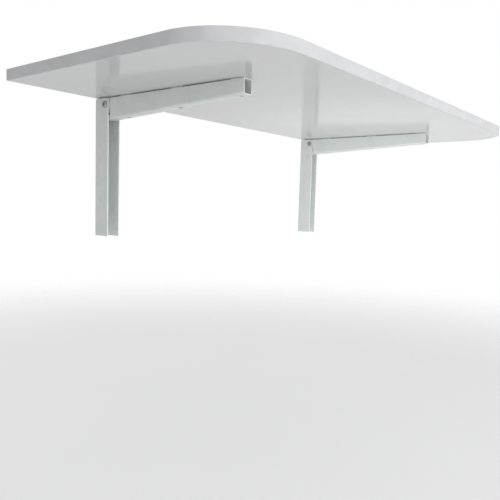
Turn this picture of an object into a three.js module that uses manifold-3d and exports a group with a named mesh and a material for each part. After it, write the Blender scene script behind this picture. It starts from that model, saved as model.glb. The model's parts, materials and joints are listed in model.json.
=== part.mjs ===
// Wall-mounted drop-leaf table: one leaf on two folding brackets.
// Millimetres. X runs along the wall, +Y points into the wall, +Z is up.
// The origin is on the wall plane, midway along the leaf, level with the leaf's underside.

import * as THREE from 'three';
import { mergeVertices } from 'three/addons/utils/BufferGeometryUtils.js';
import Module from 'manifold-3d';

const wasm = await Module();
wasm.setup();

// ---------------------------------------------------------------- driving dimensions

const LEAF_WIDTH = 1000;
const LEAF_DEPTH = 500;
const LEAF_THICKNESS = 18;
const LEAF_CORNER_RADIUS = 120;
const LEAF_WALL_GAP = 1.5;
const EDGE_BAND_THICKNESS = 1;

const BRACKET_SPACING = 646;

const RAIL_LENGTH = 248.5;
const RAIL_WIDTH = 26;
const RAIL_LIP = 8.5;
const RAIL_SHEET = 2;
const RAIL_BEND_RADIUS = 3;
const RAIL_HOLE_DIAMETER = 5.5;
const RAIL_COUNTERSINK_DIAMETER = 9;
const RAIL_HOLE_END_DISTANCE = 24;
const RAIL_HOLE_COUNT = 3;
const RAIL_TOP_HOLE_DROP = 45;

const ARM_REACH = 359;
const ARM_SHEET = 2;
const ARM_BEND_RADIUS = 4;
const ARM_TIP_DROP = 24.5;

const PIVOT_FROM_WALL = 30;
const PIVOT_BELOW_LEAF = 13;
const SWING_CLEARANCE = 1;

const BUSH_WALL = 2.7;
const WASHER_RIM = 3;
const WASHER_THICKNESS = 0.9;
const SCREW_DIAMETER = 6;
const SCREW_HEAD_DIAMETER = 12.5;
const SCREW_HEAD_HEIGHT = 3.3;
const SCREW_SOCKET_FLATS = 5;
const SCREW_SOCKET_DEPTH = 2;
const SCREW_TAIL = 1.5;
const NUT_FLATS = 10;
const NUT_HEIGHT = 5;

const STOP_PIN_DIAMETER = 6;
const STOP_SLOT_RIM = 5.7;
const STOP_PIN_ANGLE = -20;
const STOP_PIN_RECESS = 0.2;
const FOLD_ANGLE = 90;

const TAB_LENGTH = 26;
const TAB_COUNT = 3;
const TAB_ROOT_MARGIN = 30.5;
const TAB_TIP_MARGIN = 1;
const DRIVER_HOLE_DIAMETER = 9;
const WOOD_SCREW_DIAMETER = 4;
const WOOD_SCREW_BITE = 13;
const WOOD_SCREW_HEAD_DIAMETER = 8;
const WOOD_SCREW_HEAD_HEIGHT = 2.6;
const WOOD_SCREW_SLOT = 1.2;

const GAP = 0.3;
const TOP_CLEARANCE = 1.5;

// ---------------------------------------------------------------- derived values

const leafBack = -LEAF_WALL_GAP;
const leafFront = leafBack - LEAF_DEPTH;
const railTop = -TOP_CLEARANCE;
const railBottom = railTop - RAIL_LENGTH;
const railDepth = PIVOT_FROM_WALL + RAIL_LIP;
const railInnerWidth = RAIL_WIDTH - 2 * RAIL_SHEET;
const armWidth = railInnerWidth - 2 * (WASHER_THICKNESS + 2 * GAP);
const armRootRadius = PIVOT_FROM_WALL - RAIL_SHEET - SWING_CLEARANCE;
const armRootDrop = PIVOT_BELOW_LEAF + armRootRadius;
const pivotY = -PIVOT_FROM_WALL;
const pivotZ = -PIVOT_BELOW_LEAF;
const bushDiameter = SCREW_DIAMETER + 2 * GAP + 2 * BUSH_WALL;
const washerDiameter = bushDiameter + 2 * WASHER_RIM;
const stopPinOrbit = armRootRadius - STOP_SLOT_RIM - GAP - STOP_PIN_DIAMETER / 2;
const tabUnderside = -GAP - ARM_SHEET;
const firstTab = railDepth + TAB_ROOT_MARGIN + TAB_LENGTH / 2;
const lastTab = ARM_REACH - TAB_TIP_MARGIN - TAB_LENGTH / 2;

const ROUND_SIDES = 24;
const SMALL_SIDES = 16;
const BEND_STEPS = 3;
const LARGE = 2000;

const STEEL_PAINT = { color: 0xb9bdb9, roughness: 0.42, metalness: 0.35 };
const ZINC = { color: 0xc4c6c8, roughness: 0.3, metalness: 0.9 };
const NYLON = { color: 0xe8e8e4, roughness: 0.55, metalness: 0 };
const MELAMINE = { color: 0xd9dadb, roughness: 0.3, metalness: 0 };
const EDGE_ABS = { color: 0xdfe0e1, roughness: 0.38, metalness: 0 };

// ---------------------------------------------------------------- solids

/** Turns a closed geometry into a manifold solid. */
function solid(geometry) {
  const bare = geometry.clone();
  bare.deleteAttribute('normal');
  if (bare.getAttribute('uv')) {
    bare.deleteAttribute('uv');
  }
  const merged = mergeVertices(bare, 1e-4);
  const vertProperties = new Float32Array(merged.attributes.position.array);
  const triVerts = new Uint32Array(merged.index.array);
  return new wasm.Manifold(new wasm.Mesh({ numProp: 3, vertProperties, triVerts }));
}

/** Turns a manifold solid back into a geometry. */
function geometryOf(body) {
  const result = body.getMesh();
  const geometry = new THREE.BufferGeometry();
  geometry.setAttribute('position', new THREE.BufferAttribute(result.vertProperties, 3));
  geometry.setIndex(new THREE.BufferAttribute(result.triVerts, 1));
  geometry.computeVertexNormals();
  return geometry;
}

/** A box given by its lowest and highest corners. */
function boxBetween(low, high) {
  const size = high.map((value, axis) => value - low[axis]);
  const geometry = new THREE.BoxGeometry(...size);
  geometry.translate(...low.map((value, axis) => value + size[axis] / 2));
  return geometry;
}

/** An outline extruded up from z = 0. */
function prism(shape, height, curveSegments = 12) {
  return new THREE.ExtrudeGeometry(shape, { depth: height, bevelEnabled: false, curveSegments });
}

/** An outline drawn in Y and Z, extruded symmetrically about x = 0. */
function sidePrism(shape, width, curveSegments = 12) {
  const geometry = prism(shape, width, curveSegments);
  geometry.translate(0, 0, -width / 2);
  geometry.rotateY(Math.PI / 2);
  geometry.rotateX(Math.PI / 2);
  return geometry;
}

/** A round bar along X between two x values. */
function barAlongX(diameter, xLow, xHigh, sides = ROUND_SIDES) {
  const geometry = new THREE.CylinderGeometry(diameter / 2, diameter / 2, xHigh - xLow, sides);
  geometry.rotateZ(-Math.PI / 2);
  geometry.translate((xLow + xHigh) / 2, 0, 0);
  return geometry;
}

/** A round bar along Z between two z values. */
function barAlongZ(diameter, zLow, zHigh, sides = ROUND_SIDES) {
  const geometry = new THREE.CylinderGeometry(diameter / 2, diameter / 2, zHigh - zLow, sides);
  geometry.rotateX(Math.PI / 2);
  geometry.translate(0, 0, (zLow + zHigh) / 2);
  return geometry;
}

/** A solid turned about X from [radius, x] points that start and end on the axis. */
function turnedAlongX(points, sides = ROUND_SIDES) {
  const profile = points.map(([radius, x]) => new THREE.Vector2(radius, x));
  const geometry = new THREE.LatheGeometry(profile, sides);
  geometry.rotateZ(-Math.PI / 2);
  return geometry;
}

/** A round ring along X with a square section. */
function ringAlongX(outer, inner, xLow, xHigh, sides = ROUND_SIDES) {
  return turnedAlongX(
    [
      [inner / 2, xLow],
      [outer / 2, xLow],
      [outer / 2, xHigh],
      [inner / 2, xHigh],
      [inner / 2, xLow],
    ],
    sides,
  );
}

/** A hexagonal bar along X, given by its width across flats. */
function hexAlongX(flats, xLow, xHigh) {
  return barAlongX(flats / Math.cos(Math.PI / 6), xLow, xHigh, 6);
}

/** A point at an angle on a circle about the pivot, in Y and Z. */
function aroundPivot(radius, degrees) {
  const angle = THREE.MathUtils.degToRad(degrees);
  return [pivotY + radius * Math.cos(angle), pivotZ + radius * Math.sin(angle)];
}

/** One named mesh with a material of its own. */
function part(name, geometry, look) {
  const mesh = new THREE.Mesh(geometry, new THREE.MeshStandardMaterial(look));
  mesh.name = name;
  return mesh;
}

// ---------------------------------------------------------------- leaf

/** The leaf's outline, square at the wall and round at the front, moved in by an inset. */
function leafOutline(inset, rearInset = inset) {
  const side = LEAF_WIDTH / 2 - inset;
  const back = leafBack - rearInset;
  const front = leafFront + inset;
  const radius = LEAF_CORNER_RADIUS - inset;
  const outline = new THREE.Shape();
  outline.moveTo(side, back);
  outline.lineTo(-side, back);
  outline.lineTo(-side, front + radius);
  outline.absarc(-side + radius, front + radius, radius, Math.PI, 1.5 * Math.PI, false);
  outline.lineTo(side - radius, front);
  outline.absarc(side - radius, front + radius, radius, 1.5 * Math.PI, 2 * Math.PI, false);
  outline.closePath();
  return outline;
}

/** The places along the arm where its tabs take a screw, as distances from the wall. */
function tabDistances() {
  const step = (lastTab - firstTab) / (TAB_COUNT - 1);
  return Array.from({ length: TAB_COUNT }, (_, index) => firstTab + index * step);
}

const bracketCentres = [-BRACKET_SPACING / 2, BRACKET_SPACING / 2];
const LEAF_CURVE_STEPS = 16;

/** The chipboard panel, with a blind pilot hole for each wood screw. */
function leafCore() {
  const inset = EDGE_BAND_THICKNESS + GAP;
  let body = solid(prism(leafOutline(inset), LEAF_THICKNESS, LEAF_CURVE_STEPS));
  const holeTop = WOOD_SCREW_BITE + GAP;
  for (const x of bracketCentres) {
    for (const distance of tabDistances()) {
      const pilot = barAlongZ(WOOD_SCREW_DIAMETER + 2 * GAP, -1, holeTop, SMALL_SIDES);
      pilot.translate(x, -distance, 0);
      body = body.subtract(solid(pilot));
    }
  }
  return geometryOf(body);
}

/** The band that wraps both sides, both round corners and the front. */
function edgeBandFront() {
  const outer = solid(prism(leafOutline(0), LEAF_THICKNESS, LEAF_CURVE_STEPS));
  const hollow = prism(leafOutline(EDGE_BAND_THICKNESS, -LEAF_WALL_GAP), 3 * LEAF_THICKNESS, LEAF_CURVE_STEPS);
  hollow.translate(0, 0, -LEAF_THICKNESS);
  return geometryOf(outer.subtract(solid(hollow)));
}

/** The straight band on the wall edge, between the ends of the wrapped band. */
function edgeBandRear() {
  const side = LEAF_WIDTH / 2 - EDGE_BAND_THICKNESS - GAP;
  return boxBetween([-side, leafBack - EDGE_BAND_THICKNESS, 0], [side, leafBack, LEAF_THICKNESS]);
}

// ---------------------------------------------------------------- wall rail

/** A U section, open towards -Y, with round outer and inner bends at +Y. */
function channelSection(width, depth, sheet, bend) {
  const half = width / 2;
  const inner = half - sheet;
  const innerBend = bend - sheet;
  const outline = new THREE.Shape();
  outline.moveTo(-half, -depth);
  outline.lineTo(-inner, -depth);
  outline.lineTo(-inner, -sheet - innerBend);
  outline.absarc(-inner + innerBend, -sheet - innerBend, innerBend, Math.PI, Math.PI / 2, true);
  outline.lineTo(inner - innerBend, -sheet);
  outline.absarc(inner - innerBend, -sheet - innerBend, innerBend, Math.PI / 2, 0, true);
  outline.lineTo(inner, -depth);
  outline.lineTo(half, -depth);
  outline.lineTo(half, -bend);
  outline.absarc(half - bend, -bend, bend, 0, Math.PI / 2, false);
  outline.lineTo(-half + bend, 0);
  outline.absarc(-half + bend, -bend, bend, Math.PI / 2, Math.PI, false);
  outline.closePath();
  return outline;
}

/** The rail's side outline: its top front corner is round about the pivot, clear of the leaf. */
function railSideOutline() {
  const swing = PIVOT_BELOW_LEAF - GAP;
  const rise = railTop - pivotZ;
  const startAngle = Math.PI - Math.asin(rise / swing);
  const endAngle = Math.PI - Math.acos(RAIL_LIP / swing);
  const outline = new THREE.Shape();
  outline.moveTo(LARGE, railBottom);
  outline.lineTo(LARGE, railTop);
  outline.lineTo(pivotY + swing * Math.cos(startAngle), railTop);
  outline.absarc(pivotY, pivotZ, swing, startAngle, endAngle, false);
  outline.lineTo(-railDepth, railBottom);
  outline.closePath();
  return outline;
}

/** The heights of the wall-screw holes in the rail. */
function railHoleHeights() {
  const first = railTop - RAIL_TOP_HOLE_DROP;
  const last = railBottom + RAIL_HOLE_END_DISTANCE;
  const step = (last - first) / (RAIL_HOLE_COUNT - 1);
  return Array.from({ length: RAIL_HOLE_COUNT }, (_, index) => first + index * step);
}

/** A countersunk hole through the rail's web, its wide side towards the room. */
function countersunkHole(z) {
  const sinkDepth = (RAIL_COUNTERSINK_DIAMETER - RAIL_HOLE_DIAMETER) / 2;
  const profile = [
    [0, -1],
    [RAIL_HOLE_DIAMETER / 2, -1],
    [RAIL_HOLE_DIAMETER / 2, RAIL_SHEET - sinkDepth],
    [RAIL_COUNTERSINK_DIAMETER / 2, RAIL_SHEET],
    [RAIL_COUNTERSINK_DIAMETER / 2, RAIL_SHEET + 1],
    [0, RAIL_SHEET + 1],
  ].map(([radius, height]) => new THREE.Vector2(radius, height));
  const geometry = new THREE.LatheGeometry(profile, SMALL_SIDES);
  geometry.rotateX(Math.PI);
  geometry.translate(0, 0, z);
  return geometry;
}

/** The channel that is screwed to the wall. */
function wallRail() {
  const section = channelSection(RAIL_WIDTH, railDepth, RAIL_SHEET, RAIL_BEND_RADIUS);
  const channel = prism(section, RAIL_LENGTH, BEND_STEPS);
  channel.translate(0, 0, railBottom);
  let body = solid(channel).intersect(solid(sidePrism(railSideOutline(), 2 * RAIL_WIDTH, 5)));
  const screwHole = barAlongX(SCREW_DIAMETER + 2 * GAP, -RAIL_WIDTH, RAIL_WIDTH);
  screwHole.translate(0, pivotY, pivotZ);
  body = body.subtract(solid(screwHole));
  const pinHole = barAlongX(STOP_PIN_DIAMETER + 2 * GAP, -RAIL_WIDTH, RAIL_WIDTH, SMALL_SIDES);
  pinHole.translate(0, ...aroundPivot(stopPinOrbit, STOP_PIN_ANGLE));
  body = body.subtract(solid(pinHole));
  for (const z of railHoleHeights()) {
    body = body.subtract(solid(countersunkHole(z)));
  }
  return geometryOf(body);
}

// ---------------------------------------------------------------- arm

/** The arm's side outline: round at the root about the pivot, tapered to the tip. */
function armSideOutline() {
  const rise = railTop - pivotZ;
  const topAngle = Math.asin(rise / armRootRadius);
  const outline = new THREE.Shape();
  outline.moveTo(-ARM_REACH, railTop);
  outline.lineTo(-ARM_REACH, -ARM_TIP_DROP);
  outline.lineTo(-railDepth, -armRootDrop);
  outline.lineTo(pivotY, pivotZ - armRootRadius);
  outline.absarc(pivotY, pivotZ, armRootRadius, -Math.PI / 2, topAngle, false);
  outline.closePath();
  return outline;
}

/** The arm's folded channel before trimming, its web lying along the tapered lower edge. */
function armChannel() {
  const run = ARM_REACH - railDepth;
  const taper = Math.atan2(armRootDrop - ARM_TIP_DROP, run);
  const height = 2 * armRootDrop;
  const section = channelSection(armWidth, height, ARM_SHEET, ARM_BEND_RADIUS);
  const geometry = prism(section, 2 * ARM_REACH, BEND_STEPS);
  geometry.translate(0, 0, -railDepth);
  geometry.rotateX(Math.PI / 2);
  geometry.rotateY(Math.PI);
  geometry.rotateX(-taper);
  geometry.translate(0, -railDepth, -armRootDrop);
  return geometry;
}

/** The curved slot that the stop pin runs in while the arm folds. */
function stopSlot() {
  const half = STOP_PIN_DIAMETER / 2 + GAP;
  const start = THREE.MathUtils.degToRad(STOP_PIN_ANGLE);
  const end = THREE.MathUtils.degToRad(STOP_PIN_ANGLE - FOLD_ANGLE);
  const startPoint = aroundPivot(stopPinOrbit, STOP_PIN_ANGLE);
  const endPoint = aroundPivot(stopPinOrbit, STOP_PIN_ANGLE - FOLD_ANGLE);
  const outline = new THREE.Shape();
  outline.absarc(pivotY, pivotZ, stopPinOrbit + half, end, start, false);
  outline.absarc(...startPoint, half, start, start + Math.PI, false);
  outline.absarc(pivotY, pivotZ, stopPinOrbit - half, start, end, true);
  outline.absarc(...endPoint, half, end + Math.PI, end + 2 * Math.PI, false);
  outline.closePath();
  return sidePrism(outline, 2 * RAIL_WIDTH, 6);
}

/** The swinging channel under the leaf, with its screw tabs, pivot holes and stop slots. */
function arm() {
  let body = solid(armChannel()).intersect(solid(sidePrism(armSideOutline(), 2 * RAIL_WIDTH, 10)));
  const inner = armWidth / 2 - ARM_SHEET / 2;
  for (const distance of tabDistances()) {
    const low = [-inner, -distance - TAB_LENGTH / 2, tabUnderside];
    const high = [inner, -distance + TAB_LENGTH / 2, -GAP];
    body = body.add(solid(boxBetween(low, high)));
  }
  for (const distance of tabDistances()) {
    const screwHole = barAlongZ(WOOD_SCREW_DIAMETER + 2 * GAP, tabUnderside - 1, 1, SMALL_SIDES);
    screwHole.translate(0, -distance, 0);
    body = body.subtract(solid(screwHole));
    const driverHole = barAlongZ(DRIVER_HOLE_DIAMETER, -2 * armRootDrop, -ARM_TIP_DROP + 4, SMALL_SIDES);
    driverHole.translate(0, -distance, 0);
    body = body.subtract(solid(driverHole));
  }
  const bushHole = barAlongX(bushDiameter + 2 * GAP, -RAIL_WIDTH, RAIL_WIDTH);
  bushHole.translate(0, pivotY, pivotZ);
  body = body.subtract(solid(bushHole));
  body = body.subtract(solid(stopSlot()));
  return geometryOf(body);
}

// ---------------------------------------------------------------- pivot hardware

/** The round-head pivot screw with a hexagon socket, its head on the -X side. */
function pivotScrew() {
  const seat = -RAIL_WIDTH / 2 - GAP;
  const tail = RAIL_WIDTH / 2 + GAP + NUT_HEIGHT + SCREW_TAIL;
  const headRadius = SCREW_HEAD_DIAMETER / 2;
  const rim = 0.6;
  const crown = SCREW_HEAD_HEIGHT - rim;
  const flat = SCREW_SOCKET_FLATS * 0.75;
  const dome = Array.from({ length: 6 }, (_, index) => {
    const angle = (index / 5) * (Math.PI / 2);
    const radius = flat + (headRadius - flat) * Math.sin(angle);
    return [radius, seat - rim - crown * Math.cos(angle)];
  });
  const chamfer = 0.8;
  const points = [
    [0, seat - SCREW_HEAD_HEIGHT],
    ...dome,
    [headRadius, seat],
    [SCREW_DIAMETER / 2, seat],
    [SCREW_DIAMETER / 2, tail - chamfer],
    [SCREW_DIAMETER / 2 - chamfer, tail],
    [0, tail],
  ];
  const socketFloor = seat - SCREW_HEAD_HEIGHT + SCREW_SOCKET_DEPTH;
  const socket = hexAlongX(SCREW_SOCKET_FLATS, seat - 2 * SCREW_HEAD_HEIGHT, socketFloor);
  return geometryOf(solid(turnedAlongX(points)).subtract(solid(socket)));
}

/** The hexagon nut on the +X side, its corners turned off. */
function pivotNut() {
  const low = RAIL_WIDTH / 2 + GAP;
  const high = low + NUT_HEIGHT;
  const corner = NUT_FLATS / 2 / Math.cos(Math.PI / 6);
  const ease = 0.6;
  const envelope = turnedAlongX([
    [0, low],
    [corner, low],
    [corner, high - ease],
    [NUT_FLATS / 2, high],
    [0, high],
  ]);
  const bore = barAlongX(SCREW_DIAMETER + 2 * GAP, low - 1, high + 1);
  return geometryOf(solid(hexAlongX(NUT_FLATS, low, high)).intersect(solid(envelope)).subtract(solid(bore)));
}

/** The sleeve that the arm turns on, clamped between the rail's sides. */
function pivotBush() {
  const half = railInnerWidth / 2 - GAP;
  return ringAlongX(bushDiameter, SCREW_DIAMETER + 2 * GAP, -half, half);
}

/** A thin nylon washer between the arm and one side of the rail. */
function pivotWasher(side) {
  const inner = armWidth / 2 + GAP;
  const outer = inner + WASHER_THICKNESS;
  const [low, high] = side < 0 ? [-outer, -inner] : [inner, outer];
  return ringAlongX(washerDiameter, bushDiameter + 2 * GAP, low, high);
}

/** The cross pin that stops the arm at both ends of its travel. */
function stopPin() {
  const half = RAIL_WIDTH / 2 - STOP_PIN_RECESS;
  return barAlongX(STOP_PIN_DIAMETER, -half, half, SMALL_SIDES);
}

/** A pan-head wood screw, pointing up through a tab into the leaf. */
function woodScrew() {
  const seat = tabUnderside - GAP;
  const headRadius = WOOD_SCREW_HEAD_DIAMETER / 2;
  const shank = WOOD_SCREW_DIAMETER / 2;
  const rim = 1;
  const dome = Array.from({ length: 5 }, (_, index) => {
    const angle = (index / 4) * (Math.PI / 2);
    return [headRadius * Math.sin(angle), seat - rim - (WOOD_SCREW_HEAD_HEIGHT - rim) * Math.cos(angle)];
  });
  const points = [
    ...dome,
    [headRadius, seat],
    [shank, seat],
    [shank, WOOD_SCREW_BITE - WOOD_SCREW_DIAMETER],
    [0, WOOD_SCREW_BITE],
  ].map(([radius, height]) => new THREE.Vector2(Math.max(radius, 0), height));
  const turned = new THREE.LatheGeometry(points, SMALL_SIDES);
  turned.rotateX(Math.PI / 2);
  const slotHalf = WOOD_SCREW_SLOT / 2;
  const slotReach = headRadius * 0.6;
  const slotTop = seat - rim;
  const slotLow = seat - 2 * WOOD_SCREW_HEAD_HEIGHT;
  const slotA = boxBetween([-slotReach, -slotHalf, slotLow], [slotReach, slotHalf, slotTop]);
  const slotB = boxBetween([-slotHalf, -slotReach, slotLow], [slotHalf, slotReach, slotTop]);
  return geometryOf(solid(turned).subtract(solid(slotA).add(solid(slotB))));
}

// ---------------------------------------------------------------- assembly

/** One folding bracket with its rail, arm and hardware. */
function bracket(side, x) {
  const group = new THREE.Group();
  group.position.set(x, 0, 0);
  group.add(part(`${side}_wall_rail`, wallRail(), STEEL_PAINT));
  group.add(part(`${side}_arm`, arm(), STEEL_PAINT));

  const pivot = new THREE.Group();
  pivot.position.set(0, pivotY, pivotZ);
  pivot.add(part(`${side}_pivot_screw`, pivotScrew(), ZINC));
  pivot.add(part(`${side}_pivot_nut`, pivotNut(), ZINC));
  pivot.add(part(`${side}_pivot_bush`, pivotBush(), ZINC));
  pivot.add(part(`${side}_pivot_washer_outer`, pivotWasher(-1), NYLON));
  pivot.add(part(`${side}_pivot_washer_inner`, pivotWasher(1), NYLON));
  group.add(pivot);

  const pin = part(`${side}_stop_pin`, stopPin(), STEEL_PAINT);
  pin.position.set(0, ...aroundPivot(stopPinOrbit, STOP_PIN_ANGLE));
  group.add(pin);

  tabDistances().forEach((distance, index) => {
    const screw = part(`${side}_leaf_screw_${index + 1}`, woodScrew(), ZINC);
    screw.position.set(0, -distance, 0);
    group.add(screw);
  });
  return group;
}

const table = new THREE.Group();
table.add(part('leaf_core', leafCore(), MELAMINE));
table.add(part('edge_band_front', edgeBandFront(), EDGE_ABS));
table.add(part('edge_band_rear', edgeBandRear(), EDGE_ABS));
table.add(bracket('left', bracketCentres[0]));
table.add(bracket('right', bracketCentres[1]));

export default table;
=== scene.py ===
"""Looks of a wall-mounted drop-leaf table: a banded board on two folding sheet-steel brackets.

Metres. X runs along the wall, +Y points into the wall, +Z is up. The origin is on the wall plane,
midway along the leaf, level with the underside of the opened leaf.
"""

import json
import logging
import math
from dataclasses import dataclass, field
from enum import Enum
from typing import Any, Iterable, Sequence, Union

import bmesh
import bpy
from mathutils import Matrix, Vector

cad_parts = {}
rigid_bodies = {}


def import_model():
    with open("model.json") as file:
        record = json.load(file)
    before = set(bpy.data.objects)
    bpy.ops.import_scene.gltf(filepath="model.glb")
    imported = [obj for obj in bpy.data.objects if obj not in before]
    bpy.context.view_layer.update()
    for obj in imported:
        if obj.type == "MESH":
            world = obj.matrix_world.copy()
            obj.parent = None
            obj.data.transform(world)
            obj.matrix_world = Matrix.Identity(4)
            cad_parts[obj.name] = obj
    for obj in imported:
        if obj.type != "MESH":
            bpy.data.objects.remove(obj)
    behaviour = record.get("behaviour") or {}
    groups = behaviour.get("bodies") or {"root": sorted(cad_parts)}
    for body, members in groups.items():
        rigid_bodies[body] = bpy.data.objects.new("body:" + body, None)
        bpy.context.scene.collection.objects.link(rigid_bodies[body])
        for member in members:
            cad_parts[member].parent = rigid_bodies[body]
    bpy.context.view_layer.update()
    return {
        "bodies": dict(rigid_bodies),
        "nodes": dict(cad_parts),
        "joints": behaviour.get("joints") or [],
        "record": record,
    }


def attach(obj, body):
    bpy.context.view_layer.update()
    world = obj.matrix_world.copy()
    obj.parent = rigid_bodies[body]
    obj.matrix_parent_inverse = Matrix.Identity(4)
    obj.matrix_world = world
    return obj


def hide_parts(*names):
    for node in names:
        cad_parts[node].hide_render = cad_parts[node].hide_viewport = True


MM = 0.001
OVERRUN = 1 * MM
WELD = 1e-7
FINE_EASE = 0.12 * MM
SHEET_EASE = 0.28 * MM
SMALL_SIDES = 32
ROUND_SIDES = 40
FINE_SIDES = 48
CHAMFER_SIDES = 64

log = logging.getLogger("drop_leaf_table")

Point = tuple[float, float]
Colour = tuple[float, float, float]
Place = tuple[float, float, float]
Outline = list[Point]
Piece = bpy.types.Object


class Side(Enum):
    """The two brackets, by the side they stand on as seen from the room."""

    LEFT = "left"
    RIGHT = "right"

    def centre(self, spacing: float) -> float:
        """The x place of this side's bracket, from the distance between both."""
        return -spacing / 2 if self is Side.LEFT else spacing / 2


class Axis(Enum):
    """The axis that an outline is extruded or turned along."""

    X = 0
    Y = 1
    Z = 2


class Cut(Enum):
    """What a tool solid does to the solid it meets."""

    REMOVE = "DIFFERENCE"
    KEEP = "INTERSECT"
    ADD = "UNION"


# -------- shader graph


class Signal:
    """A shader socket that takes part in Python expressions by adding Math nodes."""

    def __init__(self, graph: "Graph", socket: bpy.types.NodeSocket) -> None:
        """Wraps one output socket of a graph."""
        self.graph = graph
        self.socket = socket

    def _math(self, operation: str, *values: "Operand", clamp: bool = False) -> "Signal":
        """Adds one Math node.

        Args:
            operation: The Math node's operation.
            values: Its inputs, in order.
            clamp: Whether the result is kept between 0 and 1.

        Returns:
            The node's result.
        """
        settings = {"operation": operation, "use_clamp": clamp}
        node = self.graph.add("ShaderNodeMath", settings, dict(enumerate(values)))
        return Signal(self.graph, node.outputs[0])

    def __add__(self, other: "Operand") -> "Signal":
        """This plus another."""
        return self._math("ADD", self, other)

    def __radd__(self, other: float) -> "Signal":
        """A number plus this."""
        return self._math("ADD", other, self)

    def __sub__(self, other: "Operand") -> "Signal":
        """This less another."""
        return self._math("SUBTRACT", self, other)

    def __rsub__(self, other: float) -> "Signal":
        """A number less this."""
        return self._math("SUBTRACT", other, self)

    def __mul__(self, other: "Operand") -> "Signal":
        """This times another."""
        return self._math("MULTIPLY", self, other)

    def __rmul__(self, other: float) -> "Signal":
        """A number times this."""
        return self._math("MULTIPLY", other, self)

    def root(self) -> "Signal":
        """The square root."""
        return self._math("SQRT", self)

    def least(self, other: "Operand") -> "Signal":
        """The smaller of this and another."""
        return self._math("MINIMUM", self, other)

    def clamped(self) -> "Signal":
        """This, kept between 0 and 1."""
        return self._math("ADD", self, 0.0, clamp=True)

    def ramp(self, low: float, high: float) -> "Signal":
        """A smooth step from 0 at one value to 1 at another.

        Args:
            low: Where the result is 0.
            high: Where the result is 1.

        Returns:
            The stepped value.
        """
        settings = {"interpolation_type": "SMOOTHSTEP", "clamp": True}
        sockets = {"Value": self, "From Min": low, "From Max": high, "To Min": 0.0, "To Max": 1.0}
        node = self.graph.add("ShaderNodeMapRange", settings, sockets)
        return Signal(self.graph, node.outputs["Result"])


Operand = Union[Signal, float]
Value = Union[Signal, float, Sequence[float]]
Sockets = dict[Union[str, int], Value]


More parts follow.
